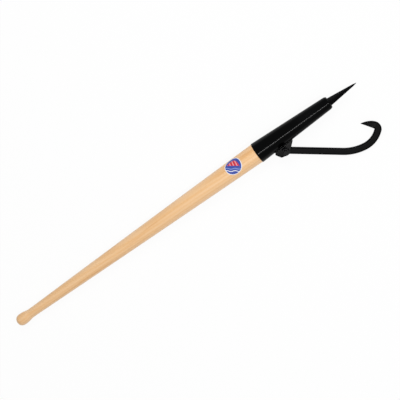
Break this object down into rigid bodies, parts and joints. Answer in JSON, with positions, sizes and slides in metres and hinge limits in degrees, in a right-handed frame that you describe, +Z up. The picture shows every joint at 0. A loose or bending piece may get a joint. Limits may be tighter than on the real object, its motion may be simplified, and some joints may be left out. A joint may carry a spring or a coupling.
{
  "type": "peavey",
  "caption": "Log-turning lever: tapered wooden handle with a knob, black steel socket with a square pike, and a forged hook that swings on a bolt.",
  "frame": {"origin": "on the floor, at the centre of the base of the bounding box of the tool as it lies", "axes": "+X along the tool towards the pike, which points 0.85 degrees up from the floor; +Y away from the hook; +Z up from the floor"},
  "size_m": [1.1849, 0.1941, 0.0619],
  "materials": {
    "handle_wood": "clear lacquered light hardwood with fine straight grain",
    "label_print": null,
    "socket_paint": "glossy black paint on steel",
    "forged_black": "black paint over forged steel, satin",
    "fastener_black": "black painted steel fasteners"
  },
  "bodies": {
    "tool": {"handle": "handle_wood", "label": "label_print", "socket": "socket_paint", "nose_plug": "socket_paint", "pike": "forged_black", "ear_upper": "socket_paint", "ear_lower": "socket_paint", "hook_bolt": "fastener_black", "flat_washer": "fastener_black", "lock_washer": "fastener_black", "hook_nut": "fastener_black", "socket_screw": "fastener_black"},
    "hook": {"hook": "forged_black"}
  },
  "joints": [
    {"name": "hook_swing", "type": "hinge", "parent": "tool", "child": "hook", "pos_m": [0.33456, 0.02856, 0.02445], "axis": [-0.0146, -0.1686, 0.9856], "range_deg": [-140, 23]}
  ]
}
